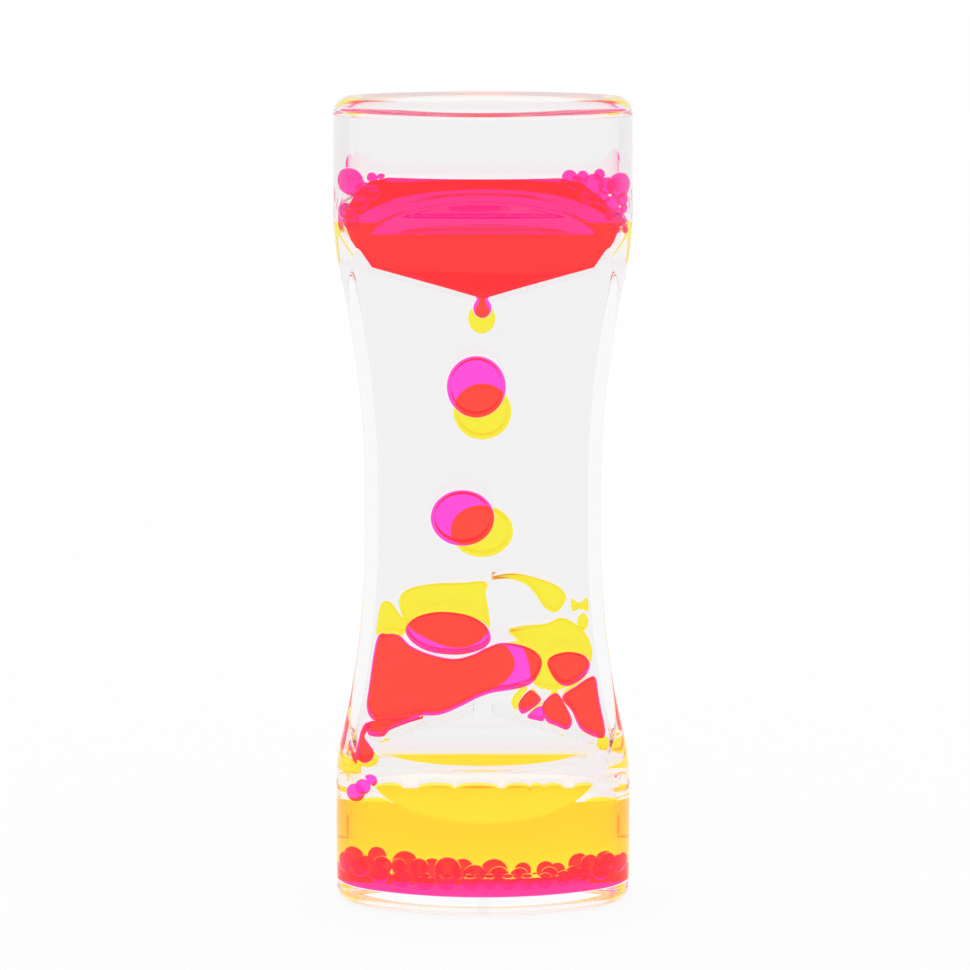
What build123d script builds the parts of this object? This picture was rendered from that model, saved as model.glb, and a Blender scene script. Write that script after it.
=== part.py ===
# Liquid motion timer: a clear waisted housing with two flat chambers, one behind the other.
# Dense dyed liquid drips from a V-shaped tray, through a column of clear liquid, onto a roof below.
# Millimetres. Origin at the centre of the base, +Z up, the viewed front faces -Y.
# The timer is turned over to start it, so the housing is the same either way up.

import os
from math import acos, degrees, hypot, sin

from build123d import *

# Housing, outside: an oval plan of four arcs, the same from base to top
HEIGHT = 135.0
WIDTH = 50.0
DEPTH = 31.0
END_ROUND = 11.5
RIM_ROUND = 2.6

# Waist in the two sides: an upright stretch at the middle, then an arc up and down
WAIST_STEP = 5.5
WAIST_UPRIGHT = 8.0
WAIST_RADIUS = 150.0

# Flat windows in front and back, each with a hollow shoulder that sweeps out to the oval ends
WINDOW_DEPTH = 15.7
SHOULDER_RADIUS = 18.0
SHOULDER_SETBACK = 16.2

# Walls
WALL = 2.1
END_WALL = 3.0
DIVIDER = 1.0
DIVIDER_SEAT = 1.0

# Trays on the divider: sloping ledges with a drip slot between them
TRAY_SETBACK = 32.8
TRAY_RISE = 5.6
TRAY_SPAN = 38.0
TRAY_THICKNESS = 0.9
DRIP_SLOT = 3.0

# Filling holes in the base, each with its stopper
PLUG_DIAMETER = 1.6
PLUG_HEAD_DIAMETER = 2.6
PLUG_HEAD_HEIGHT = 0.8
PLUG_SETBACK = 5.6

# Liquids
FILM = 0.3
DROP_WIDTH = 10.0
DROP_EDGE_BEVEL = 1.2
BEAD_DIAMETER = 3.8
NOZZLE_NECK_WIDTH = 2.0
MAGENTA_NOZZLE_WIDTH = 3.4
MAGENTA_NOZZLE_HANG = 2.0
YELLOW_NOZZLE_WIDTH = 5.0
YELLOW_NOZZLE_HANG = 4.6
MAGENTA_TOP_SETBACK = 13.0
YELLOW_TOP_SETBACK = 20.6
POOL_END_ROUND = 4.0
YELLOW_LOW_LEVEL = 17.0
MAGENTA_LOW_LEVEL = 6.2

# Free travel of the falling drops, up and down from where they are drawn
MAGENTA_RISE = 6.0
MAGENTA_FALL = 10.0
YELLOW_RISE = 7.6
YELLOW_FALL = 2.6

MIDDLE = HEIGHT / 2
FRONT = -1
BACK = 1
FACING = 0.99
CHAMBER_DEPTH = WINDOW_DEPTH / 2 - WALL - DIVIDER / 2
CHAMBER_HALF_WIDTH = WIDTH / 2 - WALL
DROP_RADIUS = DROP_WIDTH / 2
BEAD_RADIUS = BEAD_DIAMETER / 2
MAGENTA_TOP_LEVEL = HEIGHT - MAGENTA_TOP_SETBACK
YELLOW_TOP_LEVEL = HEIGHT - YELLOW_TOP_SETBACK

# Round outlines of the liquids. Across is a share of the chamber's half width, up is a share of the
# height, and the radius is a share of a falling drop's radius. A blob is the outline that wraps
# the circles of each of its rows.
MAGENTA_MASS_SHARES = [
    [(-0.680, 0.3163, 0.78), (-0.715, 0.2637, 0.64), (-0.263, 0.2859, 0.84)],
    [(-0.263, 0.2859, 0.84), (0.083, 0.3059, 0.74)],
    [(0.083, 0.3059, 0.74), (0.289, 0.3074, 0.60)],
]
MAGENTA_BLOB_SHARES = [
    [(0.798, 0.2815, 0.16), (0.842, 0.2252, 0.20), (0.640, 0.2704, 0.16), (0.741, 0.2296, 0.16)],
    [(0.544, 0.2563, 0.42), (0.544, 0.2467, 0.42)],
    [(0.342, 0.2593, 0.38)],
    [(0.386, 0.2370, 0.18), (0.360, 0.2393, 0.14)],
]
YELLOW_MASS_SHARES = [
    [(-0.491, 0.3763, 0.56), (-0.057, 0.3881, 0.40), (-0.031, 0.3444, 0.40)],
    [(-0.491, 0.3763, 0.56), (-0.031, 0.3444, 0.40), (-0.263, 0.2859, 0.84)],
    [(-0.702, 0.3111, 0.74), (-0.724, 0.2622, 0.66), (-0.263, 0.2859, 0.84)],
    [(-0.263, 0.2859, 0.84), (0.070, 0.3052, 0.72)],
]
YELLOW_BLOB_SHARES = [
    [(0.228, 0.3378, 0.16), (0.579, 0.3304, 0.72), (0.671, 0.3111, 0.56), (0.509, 0.2859, 0.52)],
    [(0.798, 0.2741, 0.20), (0.851, 0.2237, 0.22), (0.723, 0.2319, 0.22)],
    [(0.544, 0.2474, 0.40), (0.539, 0.2496, 0.40)],
    [(0.096, 0.4096, 0.08), (0.241, 0.4067, 0.18), (0.522, 0.3822, 0.40)],
    [(-0.697, 0.3570, 0.34), (-0.746, 0.3430, 0.24)],
    [(0.719, 0.3526, 0.24), (0.719, 0.3504, 0.24)],
]
MAGENTA_ELLIPSE_SHARES = (-0.254, 0.3459, 1.40, 0.74)
MAGENTA_RED_DROP_SHARES = (0.623, 0.3022, 0.73, 0.50)

# Falling drops: across, up, half width and half height
MAGENTA_UPPER_DROP_SHARES = (-0.048, 0.6489, 0.98, 1.03)
MAGENTA_LOWER_DROP_SHARES = (-0.149, 0.4867, 1.06, 0.94)
YELLOW_UPPER_DROP_SHARES = (-0.004, 0.6141, 0.97, 0.94)
YELLOW_LOWER_DROP_SHARES = (-0.009, 0.4652, 1.05, 0.88)

# Beads: across, and the radius as a share of the bead's radius
LOWER_BEAD_SHARES = [
    (-0.88, 0.98), (-0.73, 1.00), (-0.55, 0.92), (-0.38, 0.92), (-0.23, 0.90), (-0.08, 0.82),
    (0.06, 0.84), (0.20, 0.80), (0.34, 0.84), (0.47, 0.80), (0.61, 0.88), (0.75, 0.96), (0.88, 0.92),
]
UPPER_BEAD_SHARES = [
    (-0.88, 1.20), (-0.74, 0.70), (0.62, 0.72), (0.76, 1.05), (0.90, 0.94),
]
MAGENTA_DRIP_SHARES = [
    [(-0.886, 0.2200, 0.18), (-0.880, 0.1948, 0.28)],
    [(-0.780, 0.2178, 0.16), (-0.500, 0.2319, 0.16)],
]
YELLOW_DRIP_SHARES = [
    [(-0.886, 0.2148, 0.16), (-0.870, 0.1889, 0.34)],
    [(0.890, 0.2067, 0.14), (0.885, 0.1956, 0.26)],
]
STRAY_BEAD_SHARES = [(-0.870, 0.1385, 0.80), (-0.825, 0.1500, 0.72)]


def oval_plan(inset):
    """The housing seen from above, drawn in all round: two round ends and two long flanks."""
    long = WIDTH / 2 - inset
    short = DEPTH / 2 - inset
    small = END_ROUND - inset
    flank = (long**2 + short**2 - 2 * long * small) / (2 * (short - small))
    end_centre = long - small
    flank_centre = flank - short
    reach = hypot(end_centre, flank_centre)
    meet_x = end_centre + small * end_centre / reach
    meet_y = small * flank_centre / reach
    return make_face([
        ThreePointArc((meet_x, -meet_y), (long, 0), (meet_x, meet_y)),
        ThreePointArc((meet_x, meet_y), (0, short), (-meet_x, meet_y)),
        ThreePointArc((-meet_x, meet_y), (-long, 0), (-meet_x, -meet_y)),
        ThreePointArc((-meet_x, -meet_y), (0, -short), (meet_x, -meet_y)),
    ])


def turn_of_flare(step, radius):
    """Angle, in radians, through which a flare turns while it moves outwards by a step."""
    return acos(1 - step / radius)


def flared_quarter(inner, outer, upright, radius):
    """A quarter of a profile: an upright flank, a flare outwards, and a straight end."""
    turn = turn_of_flare(outer - inner, radius)
    corner = upright + radius * sin(turn)
    return make_face([
        Line((0, 0), (inner, 0)),
        Line((inner, 0), (inner, upright)),
        JernArc((inner, upright), (0, 1), radius, -degrees(turn)),
        Line((outer, corner), (outer, MIDDLE)),
        Line((outer, MIDDLE), (0, MIDDLE)),
        Line((0, MIDDLE), (0, 0)),
    ])


def mirrored_twice(quarter):
    """A whole profile from its quarter."""
    half = quarter + mirror(quarter, about=Plane.XZ)
    return half + mirror(half, about=Plane.YZ)


def shoulder_profile():
    """The housing seen from the side: flat windows, hollow shoulders and full-depth ends."""
    window = WINDOW_DEPTH / 2
    edge = DEPTH / 2
    sweep = SHOULDER_RADIUS * sin(turn_of_flare(edge - window, SHOULDER_RADIUS))
    foot = MIDDLE - SHOULDER_SETBACK - sweep
    return mirrored_twice(flared_quarter(window, edge, foot, SHOULDER_RADIUS))


def waist_profile():
    """The housing seen from the front: straight ends, and a waist of arcs with an upright middle."""
    edge = WIDTH / 2
    return mirrored_twice(flared_quarter(edge - WAIST_STEP, edge, WAIST_UPRIGHT / 2, WAIST_RADIUS))


def housing_form(inset):
    """The oval, waisted, windowed form, drawn in by a wall thickness all round but not at its ends."""
    oval = extrude(oval_plan(inset), HEIGHT)
    front_view = waist_profile()
    side_view = shoulder_profile()
    if inset > 0:
        front_view = offset(front_view, -inset, kind=Kind.INTERSECTION)
        side_view = offset(side_view, -inset, kind=Kind.INTERSECTION)
    from_front = extrude(Plane.XZ * front_view, DEPTH, both=True)
    from_side = extrude(Plane.YZ * side_view, WIDTH, both=True)
    waisted = Pos(0, 0, MIDDLE) * (from_front & from_side)
    return oval & waisted


def outer_form():
    """The housing's outside, with its rims rounded."""
    form = housing_form(0)
    rims = form.faces().sort_by(Axis.Z)
    rim_edges = rims[0].edges() + rims[-1].edges()
    return fillet(rim_edges, RIM_ROUND)


def chamber_space():
    """Both chambers and the divider between them, as one space inside the walls."""
    room = Pos(0, 0, END_WALL) * Box(
        WIDTH, DEPTH, HEIGHT - END_WALL * 2, align=(Align.CENTER, Align.CENTER, Align.MIN)
    )
    return housing_form(WALL) & room


def half_space(side, gap):
    """Everything on one side of the middle, starting a gap away from it."""
    block = Box(WIDTH * 2, DEPTH, HEIGHT * 2, align=(Align.CENTER, Align.MIN, Align.CENTER))
    if side == FRONT:
        return Pos(0, -gap - DEPTH, MIDDLE) * block
    return Pos(0, gap, MIDDLE) * block


def plug(side):
    """Stepped stopper in the base: its head lies flush below and its shank fills the hole."""
    head = Cylinder(
        PLUG_HEAD_DIAMETER / 2, PLUG_HEAD_HEIGHT, align=(Align.CENTER, Align.CENTER, Align.MIN)
    )
    shank = Cylinder(
        PLUG_DIAMETER / 2, END_WALL, align=(Align.CENTER, Align.CENTER, Align.MIN)
    )
    return Pos(0, side * PLUG_SETBACK, 0) * (head + shank)


def divider_outline(grow):
    """Outline of the divider plate: the chamber's front view, grown into its seat in the shells."""
    outline = offset(waist_profile(), grow - WALL, kind=Kind.INTERSECTION)
    tall = HEIGHT - (END_WALL - grow) * 2
    return outline & Rectangle(WIDTH, tall)


def divider_slab(grow):
    """The divider's plate, with its seating margin."""
    return Pos(0, 0, MIDDLE) * extrude(Plane.XZ * divider_outline(grow), DIVIDER / 2, both=True)


def tray_ledge():
    """Front view of one sloping ledge of an upper tray, to the right of the drip slot."""
    inner = DRIP_SLOT / 2
    outer = TRAY_SPAN / 2
    slope = TRAY_RISE / outer
    low = MIDDLE - TRAY_SETBACK + slope * inner
    high = MIDDLE - TRAY_SETBACK + TRAY_RISE
    corners = [
        (inner, low), (outer, high), (outer, high - TRAY_THICKNESS), (inner, low - TRAY_THICKNESS),
    ]
    return make_face(Polyline(corners, close=True))


def trays_outline():
    """Front view of the four ledges: an upper tray and, mirrored, the roof at the foot."""
    right = tray_ledge()
    upper = right + mirror(right, about=Plane.YZ)
    return Pos(0, MIDDLE) * (upper + mirror(upper, about=Plane.XZ))


def trays(side, space):
    """The ledges on one face of the divider, reaching to the shell's inner wall."""
    slab = extrude(Plane.XZ * trays_outline(), DEPTH, both=True)
    return chamber(side, space) & slab


def shell(side, outside, space):
    """Half of the housing, hollowed, with the divider's rebate and its filling hole."""
    half = (outside & half_space(side, 0)) - space
    return half - divider_slab(DIVIDER_SEAT) - plug(side)


def divider(space):
    """Clear plate between the chambers, moulded in one with the ledges on both its faces."""
    return divider_slab(DIVIDER_SEAT) + trays(FRONT, space) + trays(BACK, space)


def chamber(side, space):
    """The space of one chamber, between the divider's face and the shell's inner wall."""
    return space & half_space(side, DIVIDER / 2)


def at_share(across, up):
    """A place in the front view from its shares of the chamber's half width and of the height."""
    return across * CHAMBER_HALF_WIDTH, up * HEIGHT


def wrapped_circles(rows):
    """Outline that wraps the circles of each row, with the rows joined into one face."""
    outline = None
    for row in rows:
        circles = Sketch()
        for across, up, share in row:
            x, z = at_share(across, up)
            circles += Pos(x, z) * Circle(share * DROP_RADIUS)
        wrap = make_hull(circles.edges()) if len(row) > 1 else circles
        outline = wrap if outline is None else outline + wrap
    return outline


def in_chamber(outline, side, film):
    """Front-view outline made solid across a chamber's depth, a film of clear liquid off each face."""
    deep = CHAMBER_DEPTH - film * 2
    solid = extrude(Plane.XZ * outline, side * -deep)
    return Pos(0, side * (DIVIDER / 2 + film), 0) * solid


def flat_liquid(outline, side, snug):
    """A blob pressed flat between a chamber's faces, clear of the side walls and the ledges."""
    return in_chamber(outline, side, FILM) & snug


def drop_outline(shares, grow=0.0, lifts=(0,)):
    """Outline of a drop, a circle drawn out into an oval, or of the path that it takes between lifts."""
    across, up, half_width, half_height = shares
    x, z = at_share(across, up)
    wide = half_width * DROP_RADIUS + grow
    tall = half_height * DROP_RADIUS + grow
    radius = min(wide, tall)
    circles = Sketch()
    for lift in lifts:
        for end in (-1, 1):
            circles += Pos(x + end * (wide - radius), z + lift + end * (tall - radius)) * Circle(radius)
    return make_hull(circles.edges())


def falling_drop(shares, side):
    """A falling drop, flattened by the chamber's two faces, with its edges drawn in."""
    solid = in_chamber(drop_outline(shares), side, FILM)
    faces = [f for f in solid.faces() if abs(f.normal_at().Y) > FACING]
    return chamfer([e for f in faces for e in f.edges()], DROP_EDGE_BEVEL)


def drop_passage(shares, side, rise, fall):
    """The way that a falling drop clears through the liquid, over the whole of its travel."""
    return in_chamber(drop_outline(shares, FILM, (rise, -fall)), side, 0)


def tray_top(x):
    """Height of an upper tray's top face at a distance from the middle."""
    return HEIGHT - TRAY_SETBACK + TRAY_RISE * abs(x) / (TRAY_SPAN / 2)


def upper_pool_space(side, level, space):
    """What an upper pool fills: the chamber from the tray's top face up to a level."""
    inner = DRIP_SLOT / 2
    outer = TRAY_SPAN / 2
    edge = WIDTH / 2
    bulge = tray_top(outer) + POOL_END_ROUND
    right = [(inner, tray_top(inner)), (outer, tray_top(outer)), (edge, bulge), (edge, level)]
    left = [(-x, z) for x, z in reversed(right)]
    outline = make_face(Polyline(right + left, close=True))
    slab = extrude(Plane.XZ * outline, DEPTH, both=True)
    return chamber(side, space) & slab


def nozzle_drop(side, hang, width):
    """Drop that hangs under a drip slot, with the neck that still joins it to the pool above."""
    neck_top = tray_top(DRIP_SLOT / 2)
    bulb = Pos(0, neck_top - hang) * Circle(width / 2)
    neck = Pos(0, neck_top - hang / 2) * Rectangle(NOZZLE_NECK_WIDTH, hang)
    solid = extrude(Plane.XZ * (bulb + neck), width / 2, both=True)
    return Pos(0, side * (DIVIDER / 2 + CHAMBER_DEPTH / 2), 0) * solid


def bead_outline(table, floor):
    """Row of beads that float half sunk at a level, as one scalloped outline."""
    outline = Sketch()
    for across, share in table:
        radius = share * BEAD_RADIUS
        x = across * (CHAMBER_HALF_WIDTH - radius)
        outline += Pos(x, floor) * Circle(radius)
    return outline


def lower_beads(space):
    """Dense liquid on the front chamber's floor, with a row of beads that haven't merged with it."""
    band = Pos(0, MAGENTA_LOW_LEVEL / 2) * Rectangle(WIDTH, MAGENTA_LOW_LEVEL)
    outline = band + bead_outline(LOWER_BEAD_SHARES, MAGENTA_LOW_LEVEL)
    return chamber(FRONT, space) & extrude(Plane.XZ * outline, DEPTH, both=True)


def upper_beads(snug):
    """Beads that crowd against the side walls on top of the front chamber's upper pool."""
    level = MAGENTA_TOP_LEVEL + FILM
    above = Pos(0, level + BEAD_DIAMETER) * Rectangle(WIDTH, BEAD_DIAMETER * 2)
    outline = bead_outline(UPPER_BEAD_SHARES, level) & above
    return flat_liquid(outline, FRONT, snug)


def stray_bead(across, up, share):
    """A bead by itself, beside the divider in the front chamber."""
    x, z = at_share(across, up)
    radius = share * BEAD_RADIUS
    solid = extrude(Plane.XZ * (Pos(x, z) * Circle(radius)), radius, both=True)
    return Pos(0, FRONT * (DIVIDER / 2 + FILM + radius), 0) * solid


def liquid_outlines(rows_list):
    """Outlines of a list of blobs."""
    return [wrapped_circles([row]) for row in rows_list]


def cut_all(solid, cutters):
    """A solid less each of a list of cutters."""
    for cutter in cutters:
        solid = solid - cutter
    return solid


def group(solids):
    """Separate solids that share one node."""
    return Compound(children=[s for piece in solids for s in piece.solids()])


def chamber_liquids(side, space, snug, tint):
    """The dyed liquid of one chamber, by node name, and the cutters that it needs in the clear one."""
    magenta = side == FRONT
    mass = wrapped_circles(MAGENTA_MASS_SHARES if magenta else YELLOW_MASS_SHARES)
    small = liquid_outlines(MAGENTA_BLOB_SHARES if magenta else YELLOW_BLOB_SHARES)
    if magenta:
        mass = mass - drop_outline(MAGENTA_ELLIPSE_SHARES, FILM)
        small = small + [drop_outline(MAGENTA_ELLIPSE_SHARES), drop_outline(MAGENTA_RED_DROP_SHARES)]
    landed = [mass] + small
    drips = liquid_outlines(MAGENTA_DRIP_SHARES if magenta else YELLOW_DRIP_SHARES)
    upper = MAGENTA_UPPER_DROP_SHARES if magenta else YELLOW_UPPER_DROP_SHARES
    lower = MAGENTA_LOWER_DROP_SHARES if magenta else YELLOW_LOWER_DROP_SHARES
    rise = MAGENTA_RISE if magenta else YELLOW_RISE
    fall = MAGENTA_FALL if magenta else YELLOW_FALL
    level = MAGENTA_TOP_LEVEL if magenta else YELLOW_TOP_LEVEL
    hang = MAGENTA_NOZZLE_HANG if magenta else YELLOW_NOZZLE_HANG
    hang_width = MAGENTA_NOZZLE_WIDTH if magenta else YELLOW_NOZZLE_WIDTH
    pool = upper_pool_space(side, level, space)
    nozzle = nozzle_drop(side, hang, hang_width) - trays(side, space)
    pieces = {
        f"{tint}_upper_pool": pool,
        f"{tint}_nozzle_drop": nozzle,
        f"{tint}_upper_drop": falling_drop(upper, side),
        f"{tint}_lower_drop": falling_drop(lower, side),
        f"{tint}_roof_blobs": group([flat_liquid(o, side, snug) for o in landed]),
        f"{tint}_side_drips": group([flat_liquid(o, side, snug) for o in drips]),
    }
    cutters = [in_chamber(o, side, 0) for o in landed + drips]
    cutters += [drop_passage(upper, side, rise, fall), drop_passage(lower, side, rise, fall)]
    cutters += [pool, nozzle]
    return pieces, cutters


def low_liquid(side, level, space):
    """Liquid that covers a chamber's floor up to a level."""
    room = Box(WIDTH, DEPTH, level, align=(Align.CENTER, Align.CENTER, Align.MIN))
    return chamber(side, space) & room


def build():
    """All pieces, by node name."""
    outside = outer_form()
    space = chamber_space()
    snug = housing_form(WALL + FILM) - trays(FRONT, space) - trays(BACK, space)
    pieces = {
        "front_shell": shell(FRONT, outside, space),
        "back_shell": shell(BACK, outside, space),
        "divider": divider(space),
        "front_fill_plug": plug(FRONT),
        "back_fill_plug": plug(BACK),
    }
    magenta, front_cutters = chamber_liquids(FRONT, space, snug, "magenta")
    yellow, back_cutters = chamber_liquids(BACK, space, snug, "yellow")
    pieces.update(magenta)
    pieces.update(yellow)

    strays = [stray_bead(across, up, share) for across, up, share in STRAY_BEAD_SHARES]
    pieces["magenta_lower_beads"] = lower_beads(space)
    pieces["magenta_upper_beads"] = group([upper_beads(snug)])
    pieces["magenta_stray_beads"] = group(strays)
    pieces["yellow_lower_pool"] = low_liquid(BACK, YELLOW_LOW_LEVEL, space)

    front_cutters += [pieces["magenta_lower_beads"]] + pieces["magenta_upper_beads"].solids()
    front_cutters += strays + [trays(FRONT, space)]
    back_cutters += [pieces["yellow_lower_pool"], trays(BACK, space)]
    pieces["front_clear_liquid"] = cut_all(chamber(FRONT, space), front_cutters)
    pieces["back_clear_liquid"] = cut_all(chamber(BACK, space), back_cutters)
    return pieces


os.makedirs("parts", exist_ok=True)
for name, piece in build().items():
    export_step(piece, f"parts/{name}.step")
    print(name, len(piece.solids()), round(piece.volume, 1))
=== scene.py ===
# %% [markdown]
# # A liquid motion timer
# The real object is a clear moulded housing with two flat chambers, one behind the other. Each holds
# a clear liquid and a dyed one that drips from a V-shaped tray on to a roof below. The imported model
# comes first: it gives the object's size, its bodies and the falling drops that move.

from functools import lru_cache
from math import acos, atan2, cos, hypot, inf, pi, sin, sqrt, tau

import bmesh
import bpy
from mathutils import Matrix, Vector


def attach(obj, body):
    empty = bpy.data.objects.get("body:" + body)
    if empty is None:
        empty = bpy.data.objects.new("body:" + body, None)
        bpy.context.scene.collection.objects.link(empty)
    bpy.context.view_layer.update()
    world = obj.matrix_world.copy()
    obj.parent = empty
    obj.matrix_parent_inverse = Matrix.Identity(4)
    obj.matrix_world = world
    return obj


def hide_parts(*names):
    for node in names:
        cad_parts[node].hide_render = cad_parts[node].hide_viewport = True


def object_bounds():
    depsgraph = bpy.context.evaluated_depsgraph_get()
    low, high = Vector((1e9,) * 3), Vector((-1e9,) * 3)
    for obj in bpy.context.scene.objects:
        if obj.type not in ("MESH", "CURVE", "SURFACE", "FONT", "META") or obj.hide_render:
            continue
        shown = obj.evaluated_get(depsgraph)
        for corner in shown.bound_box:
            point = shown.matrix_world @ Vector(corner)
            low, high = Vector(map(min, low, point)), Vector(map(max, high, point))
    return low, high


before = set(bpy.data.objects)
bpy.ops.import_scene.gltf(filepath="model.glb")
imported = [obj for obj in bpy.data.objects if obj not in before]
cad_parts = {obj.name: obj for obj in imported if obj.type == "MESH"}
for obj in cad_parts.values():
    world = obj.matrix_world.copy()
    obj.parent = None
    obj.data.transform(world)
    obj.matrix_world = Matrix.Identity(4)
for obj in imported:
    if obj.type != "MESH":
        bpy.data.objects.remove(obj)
CAD_LOW, CAD_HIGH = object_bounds()
MM = 0.001
WIDTH, DEPTH, HEIGHT = ((high - low) / MM for low, high in zip(CAD_LOW, CAD_HIGH))
MIDDLE = HEIGHT / 2
FRONT, BACK = -1, 1
print("housing", round(WIDTH, 2), "by", round(DEPTH, 2), "by", round(HEIGHT, 2), "mm")

# %% [markdown]
# ## Where the camera stands
# The timer was photographed from a little above, with a long lens. Fitting the heights of its rims
# and of its roof gave the distance and the tilt. The same numbers also run backwards: a place in the
# picture becomes a place on an upright plane inside the timer, which the blobs use further down.

# %% Camera
PICTURE_WIDTH = 970
PICTURE_CENTRE_X, PICTURE_CENTRE_Y = 483, 485
EYE_DISTANCE = 764.83
EYE_HEIGHT = 188.33
EYE_TILT = 0.1531
FOCAL_PX = 4640.6
SENSOR = 36.0

camera_data = bpy.data.cameras.new("photo_camera")
camera_data.sensor_width = SENSOR
camera_data.lens = FOCAL_PX / PICTURE_WIDTH * SENSOR
camera_data.shift_x = (PICTURE_WIDTH / 2 - PICTURE_CENTRE_X) / PICTURE_WIDTH
camera = bpy.data.objects.new("photo_camera", camera_data)
camera.location = (0, -EYE_DISTANCE * MM, EYE_HEIGHT * MM)
camera.rotation_euler = (pi / 2 - EYE_TILT, 0, 0)
bpy.context.scene.collection.objects.link(camera)
bpy.context.scene.camera = camera


def from_picture(place, towards):
    """The x and z, in mm, of a place in the picture, on a plane some way towards the camera."""
    slope = (PICTURE_CENTRE_Y - place[1]) / FOCAL_PX
    away = EYE_DISTANCE - towards
    rise = away * (slope * cos(EYE_TILT) - sin(EYE_TILT)) / (cos(EYE_TILT) + slope * sin(EYE_TILT))
    depth = away * cos(EYE_TILT) - rise * sin(EYE_TILT)
    return (place[0] - PICTURE_CENTRE_X) / FOCAL_PX * depth, EYE_HEIGHT + rise


print("lens", round(camera_data.lens, 1), "mm")

# %% [markdown]
# ## A way to write the pieces down
# Every piece is shaped in millimetres and then shrunk to metres, so that its numbers read like a
# drawing. Its object stays at the origin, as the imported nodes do. A piece rides on the body that
# carries it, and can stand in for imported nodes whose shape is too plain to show. Faces with many
# sides are flat cuts and ends, so they are shaded flat, and all the others smooth.

# %% Keep a finished piece
SEAM = 1e-4
CURVED_FACE_SIDES = 6


def keep(name, bm, material, replaces=(), body="housing"):
    """A named object from a bmesh in millimetres."""
    bmesh.ops.scale(bm, vec=(MM, MM, MM), verts=bm.verts)
    for face in bm.faces:
        face.smooth = len(face.verts) <= CURVED_FACE_SIDES
    mesh = bpy.data.meshes.new(name)
    bm.to_mesh(mesh)
    bm.free()
    mesh.materials.append(material)
    piece = bpy.data.objects.new(name, mesh)
    bpy.context.scene.collection.objects.link(piece)
    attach(piece, body)
    if replaces:
        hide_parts(*replaces)
    print(name, "has", len(mesh.polygons), "faces")
    return piece


# %% [markdown]
# ## Finishes: shared effects
# Injection-moulded acrylic is never quite flat. Its faces roll by a few microns, which makes straight
# lines behind it waver. A dyed liquid isn't one colour either: it is a little deeper where it has
# stood longer. Both effects are small shader groups, so each clear or dyed finish sets its own scale.

# %% Moulding ripple and dye drift
def new_group(name, inputs, outputs):
    """An empty shader group with named sockets."""
    tree = bpy.data.node_groups.new(name, "ShaderNodeTree")
    for socket, kind in inputs:
        tree.interface.new_socket(socket, in_out="INPUT", socket_type=kind)
    for socket, kind in outputs:
        tree.interface.new_socket(socket, in_out="OUTPUT", socket_type=kind)
    return tree, tree.nodes.new("NodeGroupInput"), tree.nodes.new("NodeGroupOutput")


def object_noise(tree, scale_socket, detail):
    """Noise on object coordinates, with its scale from a socket."""
    coordinates = tree.nodes.new("ShaderNodeTexCoord")
    noise = tree.nodes.new("ShaderNodeTexNoise")
    noise.inputs["Detail"].default_value = detail
    tree.links.new(coordinates.outputs["Object"], noise.inputs["Vector"])
    tree.links.new(scale_socket, noise.inputs["Scale"])
    return noise.outputs["Fac"]


RIPPLE, ripple_in, ripple_out = new_group(
    "moulding_ripple",
    [("Scale", "NodeSocketFloat"), ("Height", "NodeSocketFloat"), ("Haze", "NodeSocketFloat")],
    [("Normal", "NodeSocketVector"), ("Roughness", "NodeSocketFloat")],
)
ripple_noise = object_noise(RIPPLE, ripple_in.outputs["Scale"], 1.0)
ripple_bump = RIPPLE.nodes.new("ShaderNodeBump")
ripple_bump.inputs["Strength"].default_value = 1.0
ripple_haze = RIPPLE.nodes.new("ShaderNodeMath")
ripple_haze.operation = "MULTIPLY"
RIPPLE.links.new(ripple_noise, ripple_bump.inputs["Height"])
RIPPLE.links.new(ripple_in.outputs["Height"], ripple_bump.inputs["Distance"])
RIPPLE.links.new(ripple_noise, ripple_haze.inputs[0])
RIPPLE.links.new(ripple_in.outputs["Haze"], ripple_haze.inputs[1])
RIPPLE.links.new(ripple_bump.outputs["Normal"], ripple_out.inputs["Normal"])
RIPPLE.links.new(ripple_haze.outputs["Value"], ripple_out.inputs["Roughness"])

DRIFT, drift_in, drift_out = new_group(
    "dye_drift",
    [("Pale", "NodeSocketColor"), ("Deep", "NodeSocketColor"), ("Scale", "NodeSocketFloat")],
    [("Color", "NodeSocketColor")],
)
drift_mix = DRIFT.nodes.new("ShaderNodeMix")
drift_mix.data_type = "RGBA"
DRIFT.links.new(object_noise(DRIFT, drift_in.outputs["Scale"], 0.0), drift_mix.inputs["Factor"])
DRIFT.links.new(drift_in.outputs["Pale"], drift_mix.inputs["A"])
DRIFT.links.new(drift_in.outputs["Deep"], drift_mix.inputs["B"])
DRIFT.links.new(drift_mix.outputs["Result"], drift_out.inputs["Color"])
print("groups", RIPPLE.name, DRIFT.name)

# %% [markdown]
# ## Finishes: clear plastic and clear liquid
# Light bends only by the ratio of two indices where one clear thing lies in another. The housing
# meets air, so it takes its own index. The chambers' surface is liquid in plastic, and the divider
# is plastic in liquid, so each takes the ratio. Clear things here pass a little less than all light.

# %% Clear finishes
AIR_INDEX = 1.0
PLASTIC_INDEX = 1.50
CLEAR_LIQUID_INDEX = 1.46
DYED_LIQUID_INDEX = 1.38
PLUG_INDEX = 1.505
MOULDING_SCALE, MOULDING_HEIGHT = 45.0, 6e-5
HOUSING_HAZE = 0.004


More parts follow.
